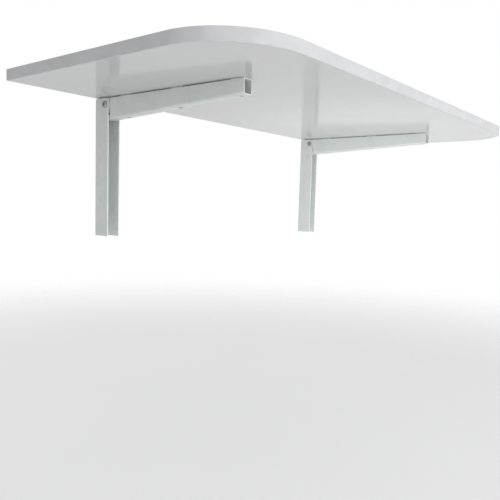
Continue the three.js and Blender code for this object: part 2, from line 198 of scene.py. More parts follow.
class Graph:
    """The node tree of one material or of the world."""

    def __init__(self, tree: bpy.types.NodeTree) -> None:
        """Empties the tree and starts afresh."""
        self.tree = tree
        tree.nodes.clear()

    def add(self, kind: str, settings: dict[str, Any], sockets: Sockets) -> bpy.types.Node:
        """Adds one node: its settings first, and then its sockets.

        Args:
            kind: The node's type.
            settings: Attributes of the node.
            sockets: Values or links of its inputs, by name or place.

        Returns:
            The new node.
        """
        node = self.tree.nodes.new(kind)
        for name, value in settings.items():
            setattr(node, name, value)
        for key, value in sockets.items():
            if isinstance(value, Signal):
                self.tree.links.new(value.socket, node.inputs[key])
            else:
                node.inputs[key].default_value = value
        return node

    def signal(self, node: bpy.types.Node, output: Union[str, int] = 0) -> Signal:
        """One output of a node, ready for expressions."""
        return Signal(self, node.outputs[output])

    def places(self) -> Signal:
        """Places on the piece, in metres, which stay with the piece as it swings."""
        return self.signal(self.add("ShaderNodeTexCoord", {}, {}), "Object")

    def parts(self, vector: Signal) -> tuple[Signal, Signal, Signal]:
        """The three components of a vector."""
        node = self.add("ShaderNodeSeparateXYZ", {}, {0: vector})
        return self.signal(node, 0), self.signal(node, 1), self.signal(node, 2)

    def stretched(self, vector: Signal, factors: Sequence[float]) -> Signal:
        """A vector scaled by its own factor on each axis."""
        node = self.add("ShaderNodeVectorMath", {"operation": "MULTIPLY"}, {0: vector, 1: factors})
        return self.signal(node, 0)

    def alignment(self, first: Signal, second: Signal) -> Signal:
        """The dot product of two vectors."""
        node = self.add("ShaderNodeVectorMath", {"operation": "DOT_PRODUCT"}, {0: first, 1: second})
        return self.signal(node, "Value")

    def noise(self, vector: Signal, grain: float, detail: float = 3.0, rough: float = 0.5) -> Signal:
        """Smooth noise from 0 to 1.

        Args:
            vector: Where it is read, in metres.
            grain: The size of one blotch, in metres.
            detail: How many finer layers it has.
            rough: How strong the finer layers are.

        Returns:
            The noise.
        """
        sockets = {"Vector": vector, "Scale": 1 / grain, "Detail": detail, "Roughness": rough}
        node = self.add("ShaderNodeTexNoise", {"noise_dimensions": "3D"}, sockets)
        return self.signal(node, 0)

    def cells(self, vector: Signal, grain: float) -> Signal:
        """The distance to the nearest of many scattered points, in grains."""
        settings = {"voronoi_dimensions": "3D", "feature": "F1"}
        node = self.add("ShaderNodeTexVoronoi", settings, {"Vector": vector, "Scale": 1 / grain})
        return self.signal(node, "Distance")

    def mix(self, factor: Operand, first: Union[Colour, Signal], second: Union[Colour, Signal]) -> Signal:
        """A colour between two colours.

        Args:
            factor: 0 for the first and 1 for the second.
            first: The first colour.
            second: The second colour.

        Returns:
            The mixed colour.
        """
        ends = [c if isinstance(c, Signal) else (*c, 1.0) for c in (first, second)]
        node = self.add("ShaderNodeMix", {"data_type": "RGBA"}, {0: factor, 6: ends[0], 7: ends[1]})
        return self.signal(node, 2)

    def edges(self, radius: float) -> Signal:
        """How close a place is to an outer or inner edge: 0 on a flat face.

        Args:
            radius: How far from the edge it reaches, in metres.

        Returns:
            The closeness, from 0 to 1.
        """
        rounded = self.add("ShaderNodeBevel", {"samples": 4}, {"Radius": radius})
        straight = self.add("ShaderNodeNewGeometry", {}, {})
        turned = self.alignment(self.signal(rounded), self.signal(straight, "Normal"))
        return (1 - turned).ramp(0.02, 0.22)

    def bump(self, height: Signal, distance: float, strength: float) -> Signal:
        """Surface relief from a height.

        Args:
            height: The height, in units of the distance.
            distance: The height of one unit, in metres.
            strength: How strongly it shows.

        Returns:
            The new normal.
        """
        sockets = {"Height": height, "Distance": distance, "Strength": strength}
        return self.signal(self.add("ShaderNodeBump", {}, sockets), "Normal")

    def surface(self, sockets: Sockets) -> None:
        """Ends the graph in a principled surface with these sockets."""
        shader = self.add("ShaderNodeBsdfPrincipled", {}, sockets)
        self.add("ShaderNodeOutputMaterial", {}, {"Surface": self.signal(shader)})


# -------- finishes


def new_graph(name: str) -> tuple[bpy.types.Material, Graph]:
    """An empty material and its graph."""
    material = bpy.data.materials.new(name)
    material.use_nodes = True
    return material, Graph(material.node_tree)


@dataclass(frozen=True)
class MelamineFace:
    """The pale grey melamine film on the board: smooth, with a soft sheen and faint handling marks."""

    slot: str = "melamine_board"
    base: Colour = (0.625, 0.628, 0.633)
    shade: Colour = (0.588, 0.592, 0.598)
    peel: float = 1.6 * MM
    cloud: float = 90 * MM
    roughness: float = 0.10

    def build(self) -> bpy.types.Material:
        """The film's material."""
        material, graph = new_graph("melamine_face")
        places = graph.places()
        clouds = graph.noise(places, self.cloud, detail=4)
        fibres = graph.noise(graph.stretched(places, (1.0, 6.0, 6.0)), 3 * MM, detail=2)
        peel = graph.noise(places, self.peel, detail=2)
        smears = graph.noise(graph.stretched(places, (1.0, 2.6, 1.0)), 35 * MM, detail=5, rough=0.6)
        marks = smears.ramp(0.54, 0.78)
        tone = (clouds * 0.6 + fibres * 0.4).ramp(0.25, 0.75)
        colour = graph.mix(tone, self.base, self.shade)
        rough = self.roughness + 0.04 * clouds + 0.07 * marks + 0.02 * peel
        relief = graph.bump(peel + 0.4 * clouds, 0.02 * MM, 0.25)
        sockets = {"Base Color": colour, "Roughness": rough, "IOR": 1.52, "Normal": relief}
        graph.surface(sockets)
        return material


@dataclass(frozen=True)
class EdgeBanding:
    """The pale grey plastic band on the board's edges, with scraped arrises and drawn lines."""

    thickness: float
    slot: str = "edge_band"
    base: Colour = (0.530, 0.534, 0.541)
    shade: Colour = (0.485, 0.490, 0.498)
    scraped: Colour = (0.64, 0.645, 0.65)
    drawn: Colour = (0.44, 0.445, 0.45)
    line: float = 0.7 * MM
    roughness: float = 0.36

    def build(self) -> bpy.types.Material:
        """The band's material."""
        material, graph = new_graph("edge_banding")
        places = graph.places()
        _, _, height = graph.parts(places)
        to_arris = height.least(self.thickness - height)
        clouds = graph.noise(places, 30 * MM, detail=4)
        drawn = graph.noise(graph.stretched(places, (0.02, 0.02, 1.0)), self.line, detail=2)
        peel = graph.noise(places, 0.9 * MM, detail=2)
        nicks = graph.noise(graph.stretched(places, (0.35, 0.35, 1.0)), 5 * MM, detail=5, rough=0.7)
        scraped = (1 - to_arris.ramp(0.3 * MM, 1.1 * MM)) * nicks.ramp(0.42, 0.62)
        colour = graph.mix(clouds.ramp(0.3, 0.7), self.base, self.shade)
        colour = graph.mix(drawn.ramp(0.35, 0.65) * 0.12, colour, self.drawn)
        colour = graph.mix(scraped * 0.7, colour, self.scraped)
        rough = self.roughness + 0.08 * drawn + 0.07 * clouds + 0.12 * scraped
        relief = graph.bump(0.6 * drawn + 0.5 * peel - 0.8 * scraped, 0.04 * MM, 0.5)
        graph.surface({"Base Color": colour, "Roughness": rough, "IOR": 1.5, "Normal": relief})
        return material


@dataclass(frozen=True)
class PowderCoat:
    """Silver-grey powder coat on sheet steel: fine grain, a painted highlight lightening every edge, worn
    thin in patches on the edges, scuffed by use.
    """

    slot: str = "bracket_paint"
    base: Colour = (0.745, 0.778, 0.760)
    shade: Colour = (0.710, 0.743, 0.725)
    # Near-white: a painted highlight along every edge, and the lighter worn patches on the edges.
    edge_highlight_and_wear: Colour = (0.90, 0.92, 0.915)
    flake: Colour = (0.84, 0.86, 0.85)
    scuff: Colour = (0.50, 0.52, 0.515)
    grain: float = 0.5 * MM
    metallic: float = 0.22
    roughness: float = 0.32

    def build(self) -> bpy.types.Material:
        """The coat's material."""
        material, graph = new_graph("powder_coat")
        places = graph.places()
        grain = graph.noise(places, self.grain, detail=3, rough=0.6)
        peel = graph.noise(places, 2.2 * MM, detail=2)
        clouds = graph.noise(places, 28 * MM, detail=5)
        flakes = 1 - graph.cells(places, 0.45 * MM).ramp(0.10, 0.35)
        streaks = graph.noise(graph.stretched(places, (1.0, 0.12, 0.12)), 3.5 * MM, detail=4, rough=0.65)
        scuffs = streaks.ramp(0.56, 0.72) * clouds.ramp(0.40, 0.62)
        edges = graph.edges(0.9 * MM)
        worn = edges * graph.noise(places, 6 * MM, detail=5, rough=0.7).ramp(0.36, 0.66)
        colour = graph.mix(clouds.ramp(0.28, 0.72), self.base, self.shade)
        colour = graph.mix(flakes * 0.22, colour, self.flake)
        colour = graph.mix(scuffs * 0.35, colour, self.scuff)
        # Every edge is lightened towards the near-white as a painted highlight; worn patches on the edges
        # are lightened further, as wear.
        colour = graph.mix((0.35 * edges + 0.55 * worn).clamped(), colour, self.edge_highlight_and_wear)
        metal = (self.metallic + 0.25 * worn + 0.12 * flakes).clamped()
        rough = self.roughness + 0.07 * clouds + 0.10 * scuffs - 0.06 * worn + 0.05 * grain
        relief = graph.bump(0.6 * grain + 0.7 * peel - 0.3 * scuffs, 0.05 * MM, 0.45)
        sockets = {"Base Color": colour, "Metallic": metal, "Roughness": rough, "Normal": relief}
        graph.surface(sockets)
        return material


@dataclass(frozen=True)
class ZincPlate:
    """Bright zinc on turned steel: fine tool rings, a faint blue bloom and rubbed edges."""

    slot: str = "zinc_hardware"
    base: Colour = (0.50, 0.51, 0.53)
    bloom: Colour = (0.41, 0.43, 0.47)
    rubbed: Colour = (0.72, 0.72, 0.71)
    pit: Colour = (0.42, 0.42, 0.42)
    metallic: float = 0.9
    roughness: float = 0.27

    def build(self) -> bpy.types.Material:
        """The plate's material."""
        material, graph = new_graph("zinc_plate")
        places = graph.places()
        clouds = graph.noise(places, 4 * MM, detail=4)
        rings = graph.noise(graph.stretched(places, (1.0, 0.08, 0.08)), 0.18 * MM, detail=2)
        pits = graph.noise(places, 0.35 * MM, detail=3)
        edges = graph.edges(0.35 * MM)
        colour = graph.mix(clouds.ramp(0.3, 0.7), self.base, self.bloom)
        colour = graph.mix(pits.ramp(0.58, 0.75) * 0.3, colour, self.pit)
        colour = graph.mix(edges * 0.6, colour, self.rubbed)
        rough = self.roughness + 0.12 * clouds + 0.08 * rings - 0.08 * edges
        relief = graph.bump(0.5 * rings + 0.5 * pits, 0.02 * MM, 0.4)
        sockets = {"Base Color": colour, "Metallic": self.metallic, "Roughness": rough, "Normal": relief}
        graph.surface(sockets)
        return material


@dataclass(frozen=True)
class Nylon:
    """Natural nylon: waxy off-white, with a faint mould grain and grey rub marks."""

    slot: str = "nylon"
    base: Colour = (0.78, 0.77, 0.73)
    shade: Colour = (0.68, 0.67, 0.63)
    rubbed: Colour = (0.46, 0.46, 0.45)
    roughness: float = 0.46

    def build(self) -> bpy.types.Material:
        """The nylon's material."""
        material, graph = new_graph("nylon")
        places = graph.places()
        clouds = graph.noise(places, 5 * MM, detail=3)
        grain = graph.noise(places, 0.4 * MM, detail=3)
        rubs = graph.noise(graph.stretched(places, (1.0, 0.3, 1.0)), 2.5 * MM, detail=4).ramp(0.55, 0.75)
        colour = graph.mix(clouds.ramp(0.3, 0.7), self.base, self.shade)
        colour = graph.mix(rubs * 0.3, colour, self.rubbed)
        rough = self.roughness + 0.10 * clouds - 0.08 * rubs
        relief = graph.bump(grain, 0.03 * MM, 0.4)
        graph.surface({"Base Color": colour, "Roughness": rough, "IOR": 1.53, "Normal": relief})
        return material


@dataclass(frozen=True)
class PaleFloor:
    """A plain pale floor that fades into the studio's white with distance."""

    base: Colour = (0.92, 0.92, 0.92)
    shade: Colour = (0.90, 0.90, 0.905)
    near: float = 0.9
    far: float = 3.2

    def build(self) -> bpy.types.Material:
        """The floor's material."""
        material, graph = new_graph("pale_floor")
        places = graph.places()
        x, y, _ = graph.parts(places)
        fading = (x * x + y * y).root().ramp(self.near, self.far)
        clouds = graph.noise(places, 0.4, detail=3)
        colour = graph.mix(clouds, self.base, self.shade)
        matt = graph.add("ShaderNodeBsdfDiffuse", {}, {"Color": colour, "Roughness": 0.5})
        clear = graph.add("ShaderNodeBsdfTransparent", {}, {})
        sockets = {0: fading, 1: graph.signal(matt), 2: graph.signal(clear)}
        blend = graph.add("ShaderNodeMixShader", {}, sockets)
        graph.add("ShaderNodeOutputMaterial", {}, {"Surface": graph.signal(blend)})
        return material


@dataclass(frozen=True)
class Finishes:
    """Every finish of the table, built once and shared by its pieces."""

    melamine: MelamineFace
    banding: EdgeBanding
    paint: PowderCoat
    zinc: ZincPlate
    nylon: Nylon
    built: dict[str, bpy.types.Material] = field(default_factory=dict)

    def dress(self, piece: Piece, slot: str) -> None:
        """Gives a piece the finish of a record slot.

        Args:
            piece: The piece.
            slot: The slot's name.
        """
        makers = (self.melamine, self.banding, self.paint, self.zinc, self.nylon)
        if slot not in self.built:
            maker = next(m for m in makers if m.slot == slot)
            self.built[slot] = maker.build()
        piece.data.materials.clear()
        piece.data.materials.append(self.built[slot])


# -------- solids


def arc(centre: Point, radius: float, start: float, end: float, steps: int) -> Outline:
    """Points on a circle's arc.

    Args:
        centre: The circle's centre.
        radius: Its radius.
        start: The first angle, in degrees.
        end: The last angle, in degrees.
        steps: How many straight pieces the arc has.

    Returns:
        The points, both ends included.
    """
    angles = [math.radians(start + (end - start) * i / steps) for i in range(steps + 1)]
    return [(centre[0] + radius * math.cos(a), centre[1] + radius * math.sin(a)) for a in angles]


def placed(point: Point, along: float, axis: Axis) -> Vector:
    """A point of an outline at a place along the axis that it is extruded on."""
    first, second = point
    if axis is Axis.X:
        return Vector((along, first, second))
    if axis is Axis.Y:
        return Vector((first, along, second))
    return Vector((first, second, along))


def object_from(mesh: bmesh.types.BMesh, name: str) -> Piece:
    """Turns a bmesh into a linked object at the origin, with outward normals."""
    bmesh.ops.remove_doubles(mesh, verts=mesh.verts, dist=WELD)
    bmesh.ops.recalc_face_normals(mesh, faces=mesh.faces)
    data = bpy.data.meshes.new(name)
    mesh.to_mesh(data)
    mesh.free()
    piece = bpy.data.objects.new(name, data)
    bpy.context.scene.collection.objects.link(piece)
    return piece


def prism(name: str, outline: Outline, low: float, high: float, axis: Axis) -> Piece:
    """A closed outline extruded between two places on an axis.

    Args:
        name: The object's name.
        outline: The outline, on the other two axes in order.
        low: The first place.
        high: The last place.
        axis: The axis of the extrusion.

    Returns:
        The solid.
    """
    mesh = bmesh.new()
    ends = [[mesh.verts.new(placed(p, along, axis)) for p in outline] for along in (low, high)]
    count = len(outline)
    mesh.faces.new(ends[0])
    mesh.faces.new(list(reversed(ends[1])))
    for i in range(count):
        j = (i + 1) % count
        mesh.faces.new((ends[0][i], ends[0][j], ends[1][j], ends[1][i]))
    return object_from(mesh, name)


def turned(name: str, profile: Outline, centre: Vector, axis: Axis, sides: int) -> Piece:
    """A solid turned about an axis from a profile that starts and ends on it.

    Args:
        name: The object's name.
        profile: Pairs of radius and place along the axis.
        centre: A point on the axis.
        axis: The axis that it turns about.
        sides: How many sides the solid has.

    Returns:
        The solid.
    """
    mesh = bmesh.new()
    rings = []
    for radius, along in profile:
        if radius == 0:
            rings.append([mesh.verts.new(placed((0.0, 0.0), along, axis) + centre)])
            continue
        ring = []
        for i in range(sides):
            angle = 2 * math.pi * i / sides
            spot = (radius * math.cos(angle), radius * math.sin(angle))
            ring.append(mesh.verts.new(placed(spot, along, axis) + centre))
        rings.append(ring)
    for lower, upper in zip(rings, rings[1:]):
        for i in range(sides):
            j = (i + 1) % sides
            corners = [ring[k % len(ring)] for ring, k in ((lower, i), (lower, j), (upper, j), (upper, i))]
            distinct = list(dict.fromkeys(corners))
            if len(distinct) > 2:
                mesh.faces.new(distinct)
    return object_from(mesh, name)


def drill(diameter: float, reach: Point, centre: Vector, axis: Axis, sides: int) -> Piece:
    """A plain round bar, used as a tool for round holes.

    Args:
        diameter: The hole's diameter.
        reach: Where it starts and ends along its axis, from the centre.
        centre: A point on its axis.
        axis: The axis that it runs along.
        sides: How many sides it has.

    Returns:
        The tool.
    """
    radius = diameter / 2
    low, high = reach
    profile = [(0, low), (radius, low), (radius, high), (0, high)]
    return turned("tool", profile, centre, axis, sides)


def corner_radius(flats: float) -> float:
    """How far a hexagon's corners are from its middle, from its width across flats."""
    return flats / math.cos(math.pi / 6) / 2


def cut(piece: Piece, tools: Iterable[Piece], how: Cut) -> None:
    """Works tool solids into a piece and removes them.

    Args:
        piece: The piece.
        tools: The tool solids.
        how: What the tools do.
    """
    for tool in tools:
        step = piece.modifiers.new("cut", "BOOLEAN")
        step.operation = how.value
        step.solver = "EXACT"
        step.object = tool
        settle(piece)
        bpy.data.objects.remove(tool)


def settle(piece: Piece) -> None:
    """Applies a piece's modifiers to its mesh."""
    depsgraph = bpy.context.evaluated_depsgraph_get()
    depsgraph.update()
    shaped = bpy.data.meshes.new_from_object(piece.evaluated_get(depsgraph), depsgraph=depsgraph)
    piece.modifiers.clear()
    piece.data = shaped


def smooth(piece: Piece, angle: float) -> None:
    """Shades a piece smooth, all but its edges sharper than an angle in degrees."""
    piece.data.shade_smooth()
    piece.data.set_sharp_from_angle(angle=math.radians(angle))


def bevel(piece: Piece, width: float, steps: int, angle: float) -> None:
    """Adds a modifier that rounds a piece's sharp edges.

    Args:
        piece: The piece.
        width: The rounding's width, in metres.
        steps: How many faces the rounding has.
        angle: Edges sharper than this are rounded, in degrees.
    """
    modifier = piece.modifiers.new("ease", "BEVEL")
    modifier.width = width
    modifier.segments = steps
    modifier.limit_method = "ANGLE"
    modifier.angle_limit = math.radians(angle)


def ease(piece: Piece, width: float, steps: int = 2, angle: float = 32.0) -> None:
    """Rounds a piece's sharp edges a little and smooths its curved faces.

    Args:
        piece: The piece.
        width: The rounding's width, in metres.
        steps: How many faces the rounding has.
        angle: Edges sharper than this are rounded, in degrees.
    """
    bevel(piece, width, steps, angle)
    settle(piece)
    smooth(piece, 50)
    weighted = piece.modifiers.new("weighted", "WEIGHTED_NORMAL")
    weighted.keep_sharp = True
    weighted.weight = 60
    settle(piece)


def mount(piece: Piece, body: str, slot: str, finishes: Finishes, nodes: Sequence[str]) -> None:
    """Dresses a finished piece, hangs it on a body and hides the nodes that it stands for.

    Args:
        piece: The piece.
        body: The body that it moves with.
        slot: The record slot of its finish.
        finishes: The table's finishes.
        nodes: The nodes that it stands for.
    """
    finishes.dress(piece, slot)
    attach(piece, body)
    if nodes:
        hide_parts(*nodes)
    log.info("%s rides on %s, %d faces", piece.name, body, len(piece.data.polygons))


# -------- leaf


@dataclass
class Leaf:
    """The board: a melamine-faced panel, a band wrapped round three edges and a band at the wall."""

    width: float = 1000 * MM
    depth: float = 500 * MM
    thickness: float = 18 * MM
    corner_radius: float = 120 * MM
    wall_gap: float = 1.5 * MM
    band: float = 1.0 * MM
    seam: float = 0.06 * MM
    arris: float = 0.9 * MM
    arris_steps: int = 4
    rear_ease: float = 0.4 * MM
    corner_steps: int = 40

    def outline(self, inset: float, rear_inset: float) -> Outline:
        """The leaf's outline, moved in by an inset.

        Args:
            inset: The inset at the sides and the front.
            rear_inset: The inset at the wall.

        Returns:
            The outline in X and Y.
        """
        side = self.width / 2 - inset
        back = -self.wall_gap - rear_inset
        front = -self.wall_gap - self.depth + inset
        radius = self.corner_radius - inset
        points = [(side, back), (-side, back)]
        points += arc((-side + radius, front + radius), radius, 180, 270, self.corner_steps)
        points += arc((side - radius, front + radius), radius, 270, 360, self.corner_steps)
        return points

    def panel(self, finishes: Finishes) -> None:
        """The faced panel between the bands."""
        inset = self.band + self.seam
        piece = prism("leaf_panel", self.outline(inset, inset), 0.0, self.thickness, Axis.Z)
        ease(piece, FINE_EASE, steps=1, angle=60)
        mount(piece, "leaf", finishes.melamine.slot, finishes, ["leaf_core"])

    def front_band(self, finishes: Finishes) -> None:
        """The band round both sides, both round corners and the front, with rounded arrises."""
        section = self._band_section()
        mesh = bmesh.new()
        rings = []
        for inset, height in section:
            path = self.outline(inset, 0.0)
            run = path[1:] + path[:1]
            rings.append([mesh.verts.new((x, y, height)) for x, y in run])
        count = len(section)
        for i in range(count):
            lower, upper = rings[i], rings[(i + 1) % count]
            for j in range(len(lower) - 1):
                mesh.faces.new((lower[j], lower[j + 1], upper[j + 1], upper[j]))
        mesh.faces.new([ring[0] for ring in rings])
        mesh.faces.new([ring[-1] for ring in reversed(rings)])
        piece = object_from(mesh, "leaf_front_band")
        smooth(piece, 40)
        mount(piece, "leaf", finishes.banding.slot, finishes, ["edge_band_front"])

    def _band_section(self) -> Outline:
        """The band's section as pairs of inset and height, its two outer arrises round."""
        radius = self.arris
        section = [(self.band, 0.0)]
        section += arc((radius, radius), radius, 270, 180, self.arris_steps)
        section += arc((radius, self.thickness - radius), radius, 180, 90, self.arris_steps)
        section += [(self.band, self.thickness)]
        return section

    def rear_band(self, finishes: Finishes) -> None:
        """The straight band on the wall edge."""
        side = self.width / 2 - self.band - self.seam
        back = -self.wall_gap
        front = back - self.band
        points = [(-side, front), (side, front), (side, back), (-side, back)]
        piece = prism("leaf_rear_band", points, 0.0, self.thickness, Axis.Z)
        ease(piece, self.rear_ease, steps=3, angle=40)
        mount(piece, "leaf", finishes.banding.slot, finishes, ["edge_band_rear"])

    def build(self, finishes: Finishes) -> None:
        """Builds the panel and both bands."""
        self.panel(finishes)
        self.front_band(finishes)
        self.rear_band(finishes)


# -------- brackets


@dataclass
class Pivot:
    """Where the arm turns, and the sizes of what sits there."""

    from_wall: float = 30 * MM
    below_leaf: float = 13 * MM
    gap: float = 0.3 * MM
    screw: float = 6 * MM
    bush: float = 12 * MM
    pin: float = 6 * MM
    pin_angle: float = -20.0
    pin_orbit: float = 18 * MM
    fold: float = 90.0

    @property
    def centre(self) -> Point:
        """The pivot in Y and Z."""
        return (-self.from_wall, -self.below_leaf)

    def around(self, radius: float, degrees: float) -> Point:
        """A point on a circle about the pivot, in Y and Z."""
        angle = math.radians(degrees)
        y, z = self.centre
        return (y + radius * math.cos(angle), z + radius * math.sin(angle))


@dataclass
class Channel:
    """A sheet-steel U section with round bends."""

    width: float
    sheet: float
    bend: float
    bend_steps: int = 7

    def section(self, depth: float) -> Outline:
        """The section, open towards -Y, its web's outer face at y = 0.

        Args:
            depth: How far the flanges reach.

        Returns:
            The section's outline.
        """
        half = self.width / 2
        inner = half - self.sheet
        small = self.bend - self.sheet
        n = self.bend_steps
        points = [(-half, -depth), (-inner, -depth)]
        points += arc((-inner + small, -self.sheet - small), small, 180, 90, n)
        points += arc((inner - small, -self.sheet - small), small, 90, 0, n)
        points += [(inner, -depth), (half, -depth)]
        points += arc((half - self.bend, -self.bend), self.bend, 0, 90, n)
        points += arc((-half + self.bend, -self.bend), self.bend, 90, 180, n)
        return points


@dataclass
class WallRail:
    """The channel screwed to the wall, its top front corner round about the pivot."""

    side: Side
    x: float
    pivot: Pivot
    channel: Channel
    length: float = 248.5 * MM
    top: float = -1.5 * MM
    lip: float = 8.5 * MM
    hole: float = 5.5 * MM
    countersink: float = 9 * MM
    first_hole_drop: float = 45 * MM
    last_hole_rise: float = 24 * MM
    hole_count: int = 3
    past_wall: float = 50 * MM

    @property
    def bottom(self) -> float:
        """The height of the rail's lower end."""
        return self.top - self.length

    @property
    def depth(self) -> float:
        """How far the rail stands out from the wall."""
        return self.pivot.from_wall + self.lip

    def side_outline(self) -> Outline:
        """The rail seen from the side, in Y and Z, running past the wall."""
        swing = self.pivot.below_leaf - self.pivot.gap
        start = 180 - math.degrees(math.asin((self.top + self.pivot.below_leaf) / swing))
        end = 180 - math.degrees(math.acos(self.lip / swing))
        points = [(self.past_wall, self.bottom), (self.past_wall, self.top)]
        points += arc(self.pivot.centre, swing, start, end, 12)
        points += [(-self.depth, self.bottom)]
        return points

    def wall_holes(self) -> list[Piece]:
        """Tools for the countersunk wall-screw holes."""
        first = self.top - self.first_hole_drop
        last = self.bottom + self.last_hole_rise
        step = (last - first) / (self.hole_count - 1)
        sink = (self.countersink - self.hole) / 2
        sheet = self.channel.sheet
        narrow = self.hole / 2
        wide = self.countersink / 2
        profile = [(0, OVERRUN), (narrow, OVERRUN), (narrow, -sheet + sink)]
        profile += [(wide, -sheet), (wide, -sheet - OVERRUN), (0, -sheet - OVERRUN)]
        tools = []
        for i in range(self.hole_count):
            centre = Vector((self.x, 0, first + i * step))
            tools.append(turned("tool", profile, centre, Axis.Y, SMALL_SIDES))
        return tools

    def build(self, finishes: Finishes) -> None:
        """Builds the rail and puts it in the place of its plain node."""
        name = f"{self.side.value}_rail_channel"
        section = [(self.x + u, v) for u, v in self.channel.section(self.depth)]
        piece = prism(name, section, self.bottom, self.top, Axis.Z)
        reach = self.channel.width
        envelope = prism("tool", self.side_outline(), self.x - reach, self.x + reach, Axis.X)
        cut(piece, [envelope], Cut.KEEP)
        pin = self.pivot.around(self.pivot.pin_orbit, self.pivot.pin_angle)
        tools = []
        for place, diameter in ((self.pivot.centre, self.pivot.screw), (pin, self.pivot.pin)):
            bore = diameter + 2 * self.pivot.gap
            tools.append(drill(bore, (-reach, reach), Vector((self.x, *place)), Axis.X, ROUND_SIDES))
        cut(piece, tools + self.wall_holes(), Cut.REMOVE)
        ease(piece, SHEET_EASE)
        mount(piece, "wall_rails", finishes.paint.slot, finishes, [f"{self.side.value}_wall_rail"])


@dataclass
class Arm:
    """The swinging channel under the leaf: tapered, round at the root, open at the top."""

    side: Side
    x: float
    pivot: Pivot
    channel: Channel
    rail_depth: float
    reach: float = 359 * MM
    top: float = -1.5 * MM
    root_drop: float = 40 * MM
    root_radius: float = 27 * MM
    tip_drop: float = 24.5 * MM
    tab_length: float = 26 * MM
    tab_top: float = -0.3 * MM
    tab_sheet: float = 2 * MM
    tab_root_margin: float = 30.5 * MM
    tab_tip_margin: float = 1 * MM
    tab_count: int = 3
    screw_hole: float = 4.6 * MM
    driver_hole: float = 9 * MM

    def tab_places(self) -> list[float]:
        """The tabs' middles, as distances from the wall."""
        first = self.rail_depth + self.tab_root_margin + self.tab_length / 2
        last = self.reach - self.tab_tip_margin - self.tab_length / 2
        step = (last - first) / (self.tab_count - 1)
        return [first + i * step for i in range(self.tab_count)]

    def side_outline(self) -> Outline:
        """The arm seen from the side, in Y and Z."""
        top_angle = math.degrees(math.asin((self.top + self.pivot.below_leaf) / self.root_radius))
        points = [(-self.reach, self.top), (-self.reach, -self.tip_drop)]
        points += [(-self.rail_depth, -self.root_drop)]
        points += arc(self.pivot.centre, self.root_radius, -90, top_angle, 28)
        return points

    def folded_sheet(self, name: str) -> Piece:
        """The channel before trimming, its web lying along the tapered lower edge."""
        run = self.reach - self.rail_depth
        taper = math.atan2(self.root_drop - self.tip_drop, run)
        piece = prism(name, self.channel.section(2 * self.root_drop), 0.0, 2 * self.reach, Axis.Z)
        place = Matrix.Translation((self.x, -self.rail_depth, -self.root_drop))
        place = place @ Matrix.Rotation(-taper, 4, "X") @ Matrix.Rotation(math.pi, 4, "Y")
        place = place @ Matrix.Rotation(math.pi / 2, 4, "X") @ Matrix.Translation((0, 0, -self.rail_depth))
        piece.data.transform(place)
        return piece

    def tabs(self) -> list[Piece]:
        """The bent-in tabs that the wood screws pass through."""
        half = self.channel.width / 2 - self.channel.sheet / 2
        made = []
        for distance in self.tab_places():
            low = -distance - self.tab_length / 2
            high = -distance + self.tab_length / 2
            left, right = self.x - half, self.x + half
            points = [(left, low), (right, low), (right, high), (left, high)]
            made.append(prism("tool", points, self.tab_top - self.tab_sheet, self.tab_top, Axis.Z))
        return made

    def screw_holes(self) -> list[Piece]:
        """Tools for the holes in the tabs and for the driver holes in the web."""
        tools = []
        through_tab = (self.tab_top - self.tab_sheet - OVERRUN, OVERRUN)
        through_web = (-2 * self.root_drop, -self.tip_drop + self.channel.sheet + 2 * OVERRUN)
        for distance in self.tab_places():
            centre = Vector((self.x, -distance, 0))
            tools.append(drill(self.screw_hole, through_tab, centre, Axis.Z, SMALL_SIDES))
            tools.append(drill(self.driver_hole, through_web, centre, Axis.Z, ROUND_SIDES))
        return tools

    def stop_slot(self) -> Piece:
        """A tool for the curved slot that the stop pin runs in."""
        half = self.pivot.pin / 2 + self.pivot.gap
        start = self.pivot.pin_angle
        end = start - self.pivot.fold
        orbit = self.pivot.pin_orbit
        centre = self.pivot.centre
        points = arc(centre, orbit + half, end, start, 20)
        points += arc(self.pivot.around(orbit, start), half, start, start + 180, 10)[1:]
        points += arc(centre, orbit - half, start, end, 20)[1:]
        points += arc(self.pivot.around(orbit, end), half, end + 180, end + 360, 10)[1:-1]
        reach = self.channel.width
        return prism("tool", points, self.x - reach, self.x + reach, Axis.X)

    def build(self, finishes: Finishes) -> None:
        """Builds the arm and puts it in the place of its plain node."""
        piece = self.folded_sheet(f"{self.side.value}_arm_channel")
        reach = self.channel.width
        envelope = prism("tool", self.side_outline(), self.x - reach, self.x + reach, Axis.X)
        cut(piece, [envelope], Cut.KEEP)
        cut(piece, self.tabs(), Cut.ADD)
        bore = self.pivot.bush + 2 * self.pivot.gap
        centre = Vector((self.x, *self.pivot.centre))
        tools = [drill(bore, (-reach, reach), centre, Axis.X, FINE_SIDES)]
        cut(piece, self.screw_holes() + tools + [self.stop_slot()], Cut.REMOVE)
        ease(piece, SHEET_EASE)
        mount(piece, "leaf", finishes.paint.slot, finishes, [f"{self.side.value}_arm"])


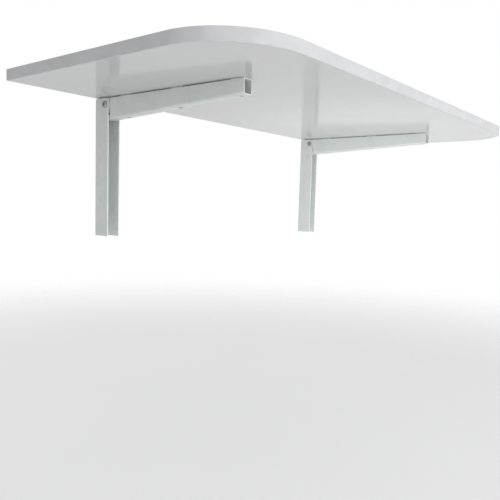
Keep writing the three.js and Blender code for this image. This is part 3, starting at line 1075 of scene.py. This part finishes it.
@dataclass
class PivotScrew:
    """A button-head screw with a hexagonal socket and thread rings at its end."""

    side: Side
    x: float
    pivot: Pivot
    seat: float = 13.3 * MM
    head: float = 12.5 * MM
    head_height: float = 3.3 * MM
    crown_share: float = 0.27
    dome_share: float = 0.82
    dome_steps: int = 8
    socket_flats: float = 5 * MM
    socket_depth: float = 2 * MM
    lead: float = 0.2 * MM
    lead_depth: float = 0.45 * MM
    rim_ease: float = 0.15 * MM
    end: float = 19.8 * MM
    thread_start: float = 12.4 * MM
    pitch: float = 1 * MM
    thread_depth: float = 0.45 * MM
    thread_flanks: tuple[float, float, float] = (0.35, 0.5, 0.9)
    point: float = 0.5 * MM

    def head_profile(self) -> Outline:
        """The domed head, from its crown to its seat, as radius and place."""
        crown = self.crown_share * self.head
        rim = self.head / 2
        face = -self.seat - self.head_height
        rise = self.head_height * self.dome_share
        profile = [(0.0, face), (crown, face)]
        for i in range(1, self.dome_steps + 1):
            turn = i / self.dome_steps * math.pi / 2
            profile.append((crown + (rim - crown) * math.sin(turn), face + rise * (1 - math.cos(turn))))
        profile += [(rim, -self.seat - self.rim_ease), (rim - self.rim_ease, -self.seat)]
        return profile

    def thread_profile(self) -> Outline:
        """The shank and its thread rings, from the head to the end."""
        radius = self.pivot.screw / 2
        root = radius - self.thread_depth
        profile = [(radius, -self.seat), (radius, self.thread_start)]
        place = self.thread_start
        fall, rise, crest = (share * self.pitch for share in self.thread_flanks)
        while place + self.pitch < self.end - self.point:
            profile += [(root, place + fall), (root, place + rise)]
            profile += [(radius, place + crest), (radius, place + self.pitch)]
            place += self.pitch
        profile += [(root, self.end), (0.0, self.end)]
        return profile

    def build(self, finishes: Finishes) -> None:
        """Builds the screw and puts it in the place of its plain node."""
        centre = Vector((self.x, *self.pivot.centre))
        profile = self.head_profile() + self.thread_profile()
        piece = turned(f"{self.side.value}_pivot_button_screw", profile, centre, Axis.X, ROUND_SIDES)
        face = -self.seat - self.head_height
        corner = corner_radius(self.socket_flats)
        hexagon = arc(self.pivot.centre, corner, 30, 330, 5)
        outside = self.x + face
        socket = prism("tool", hexagon, outside - OVERRUN, outside + self.socket_depth, Axis.X)
        start = face - self.lead
        stop = face + self.lead_depth
        wide = corner + 2 * self.lead
        narrow = corner + self.lead - self.lead_depth
        cone = [(0, start), (wide, start), (narrow, stop), (0, stop)]
        mouth = turned("tool", cone, centre, Axis.X, ROUND_SIDES)
        cut(piece, [socket, mouth], Cut.REMOVE)
        smooth(piece, 35)
        mount(piece, "wall_rails", finishes.zinc.slot, finishes, [f"{self.side.value}_pivot_screw"])


@dataclass
class PivotNut:
    """A hexagonal nut with chamfered corners and a plain bore, countersunk at both ends."""

    side: Side
    x: float
    pivot: Pivot
    seat: float = 13.3 * MM
    flats: float = 10 * MM
    height: float = 5 * MM
    face_share: float = 0.97
    chamfer_slope: float = 0.58
    mouth_width: float = 0.35 * MM
    mouth_depth: float = 0.4 * MM

    def build(self, finishes: Finishes) -> None:
        """Builds the nut and puts it in the place of its plain node."""
        centre = Vector((self.x, *self.pivot.centre))
        corner = corner_radius(self.flats)
        hexagon = arc(self.pivot.centre, corner, 0, 300, 5)
        start, stop = self.seat, self.seat + self.height
        piece = prism(f"{self.side.value}_pivot_hex_nut", hexagon, self.x + start, self.x + stop, Axis.X)
        inner = self.flats / 2 * self.face_share
        slope = (corner - inner) * self.chamfer_slope
        faces = [(0, start), (inner, start), (corner, start + slope)]
        faces += [(corner, stop - slope), (inner, stop), (0, stop)]
        cut(piece, [turned("tool", faces, centre, Axis.X, CHAMFER_SIDES)], Cut.KEEP)
        bore = self.pivot.screw / 2 + self.pivot.gap
        mouth = bore + self.mouth_width
        below = start - OVERRUN
        above = stop + OVERRUN
        hole = [(0, below), (mouth, below), (mouth, start), (bore, start + self.mouth_depth)]
        hole += [(bore, stop - self.mouth_depth), (mouth, stop), (mouth, above), (0, above)]
        cut(piece, [turned("tool", hole, centre, Axis.X, ROUND_SIDES)], Cut.REMOVE)
        smooth(piece, 25)
        mount(piece, "wall_rails", finishes.zinc.slot, finishes, [f"{self.side.value}_pivot_nut"])


@dataclass
class Bracket:
    """One folding bracket: its wall rail, its arm and the hardware of its pivot."""

    side: Side
    spacing: float = 646 * MM
    pivot: Pivot = field(default_factory=Pivot)
    rail_channel: Channel = field(default_factory=lambda: Channel(26 * MM, 2 * MM, 3 * MM))
    arm_channel: Channel = field(default_factory=lambda: Channel(19 * MM, 2 * MM, 4 * MM))
    zinc_nodes: tuple[str, ...] = ("pivot_bush", "leaf_screw_1", "leaf_screw_2", "leaf_screw_3")
    painted_nodes: tuple[str, ...] = ("stop_pin",)
    nylon_nodes: tuple[str, ...] = ("pivot_washer_outer", "pivot_washer_inner")

    def small_parts(self, frame: dict[str, Any], finishes: Finishes) -> None:
        """Dresses the small turned parts and eases their edges.

        Args:
            frame: The loaded frame.
            finishes: The table's finishes.
        """
        slots = {name: finishes.zinc.slot for name in self.zinc_nodes}
        slots.update({name: finishes.nylon.slot for name in self.nylon_nodes})
        slots.update({name: finishes.paint.slot for name in self.painted_nodes})
        for name, slot in slots.items():
            node = frame["nodes"][f"{self.side.value}_{name}"]
            finishes.dress(node, slot)
            bevel(node, FINE_EASE, steps=2, angle=40)
            log.info("%s keeps its shape, dressed as %s", node.name, slot)

    def build(self, frame: dict[str, Any], finishes: Finishes) -> None:
        """Builds the bracket's pieces.

        Args:
            frame: The loaded frame.
            finishes: The table's finishes.
        """
        x = self.side.centre(self.spacing)
        rail = WallRail(self.side, x, self.pivot, self.rail_channel)
        rail.build(finishes)
        Arm(self.side, x, self.pivot, self.arm_channel, rail.depth).build(finishes)
        PivotScrew(self.side, x, self.pivot).build(finishes)
        PivotNut(self.side, x, self.pivot).build(finishes)
        self.small_parts(frame, finishes)


# -------- studio


@dataclass(frozen=True)
class Lamp:
    """A soft square light, seen neither by the camera nor in reflections."""

    name: str
    spot: Place
    target: Place
    size: float
    power: float
    spread: float

    def build(self) -> None:
        """Adds the light."""
        data = bpy.data.lights.new(self.name, "AREA")
        data.shape = "SQUARE"
        data.size = self.size
        data.energy = self.power
        data.spread = math.radians(self.spread)
        light = bpy.data.objects.new(self.name, data)
        aim = Vector(self.target) - Vector(self.spot)
        light.location = self.spot
        light.visible_camera = False
        light.visible_glossy = False
        light.rotation_mode = "QUATERNION"
        light.rotation_quaternion = aim.to_track_quat("-Z", "Y")
        bpy.context.scene.collection.objects.link(light)


LAMPS = (
    Lamp("front_light", (-0.9, -2.9, 0.0), (0.0, -0.25, -0.05), size=2.4, power=40.0, spread=180.0),
    Lamp("inner_light", (-0.22, -0.62, -0.42), (0.32, -0.13, -0.13), size=0.3, power=0.45, spread=75.0),
)


@dataclass
class Studio:
    """A pale floor, light from all round, two lamps before the table and a camera low on the left."""

    floor_drop: float = 0.75
    floor_radius: float = 6.0
    yaw: float = 52.46
    pitch: float = -5.25
    roll: float = 1.94
    spot: Place = (-0.961, -0.919, -0.188)
    focal: float = 40.7
    shift: Point = (-0.06, 0.020)
    ambient: float = 0.80
    lean: Place = (0.24, -0.30, -0.08)

    def camera(self) -> None:
        """Adds the camera."""
        yaw, pitch, roll = (math.radians(v) for v in (self.yaw, self.pitch, self.roll))
        ahead = Vector((math.sin(yaw) * math.cos(pitch), math.cos(yaw) * math.cos(pitch), math.sin(pitch)))
        level = Vector((math.cos(yaw), -math.sin(yaw), 0.0))
        upright = level.cross(ahead)
        right = math.cos(roll) * level + math.sin(roll) * upright
        top = -math.sin(roll) * level + math.cos(roll) * upright
        data = bpy.data.cameras.new("camera")
        data.sensor_width = 36.0
        data.lens = self.focal
        data.shift_x, data.shift_y = self.shift
        data.clip_start = 0.01
        data.clip_end = 100.0
        camera = bpy.data.objects.new("camera", data)
        rows = [[right[i], top[i], -ahead[i], self.spot[i]] for i in range(3)]
        camera.matrix_world = Matrix([*rows, [0, 0, 0, 1]])
        bpy.context.scene.collection.objects.link(camera)
        bpy.context.scene.camera = camera

    def floor(self) -> None:
        """Adds the floor."""
        mesh = bmesh.new()
        bmesh.ops.create_circle(mesh, cap_ends=True, radius=self.floor_radius, segments=96)
        piece = object_from(mesh, "studio_floor")
        piece.data.materials.append(PaleFloor().build())
        piece.location = (0, 0, -self.floor_drop)

    def world(self) -> None:
        """Lights the studio from all round, a little stronger from the front, the right and below."""
        world = bpy.data.worlds.new("studio")
        world.use_nodes = True
        bpy.context.scene.world = world
        graph = Graph(world.node_tree)
        direction = graph.signal(graph.add("ShaderNodeTexCoord", {}, {}), "Generated")
        x, y, z = graph.parts(direction)
        glow = self.ambient + x * self.lean[0] + y * self.lean[1] + z * self.lean[2]
        seen = graph.signal(graph.add("ShaderNodeLightPath", {}, {}), "Is Camera Ray")
        strength = glow + seen * (1 - glow)
        sockets = {"Color": (1.0, 1.0, 1.0, 1.0), "Strength": strength}
        backdrop = graph.add("ShaderNodeBackground", {}, sockets)
        graph.add("ShaderNodeOutputWorld", {}, {"Surface": graph.signal(backdrop)})

    def build(self) -> None:
        """Builds the floor, the lights and the camera."""
        self.floor()
        self.world()
        for lamp in LAMPS:
            lamp.build()
        self.camera()
        bpy.context.scene.view_settings.view_transform = "Standard"


def main() -> None:
    """Builds the table on its frame, and the studio round it."""
    logging.basicConfig(level=logging.INFO, format="%(name)s: %(message)s")
    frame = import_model()
    leaf = Leaf()
    finishes = Finishes(MelamineFace(), EdgeBanding(leaf.thickness), PowderCoat(), ZincPlate(), Nylon())
    leaf.build(finishes)
    for side in Side:
        Bracket(side).build(frame, finishes)
    Studio().build()


if __name__ == "__main__":
    main()
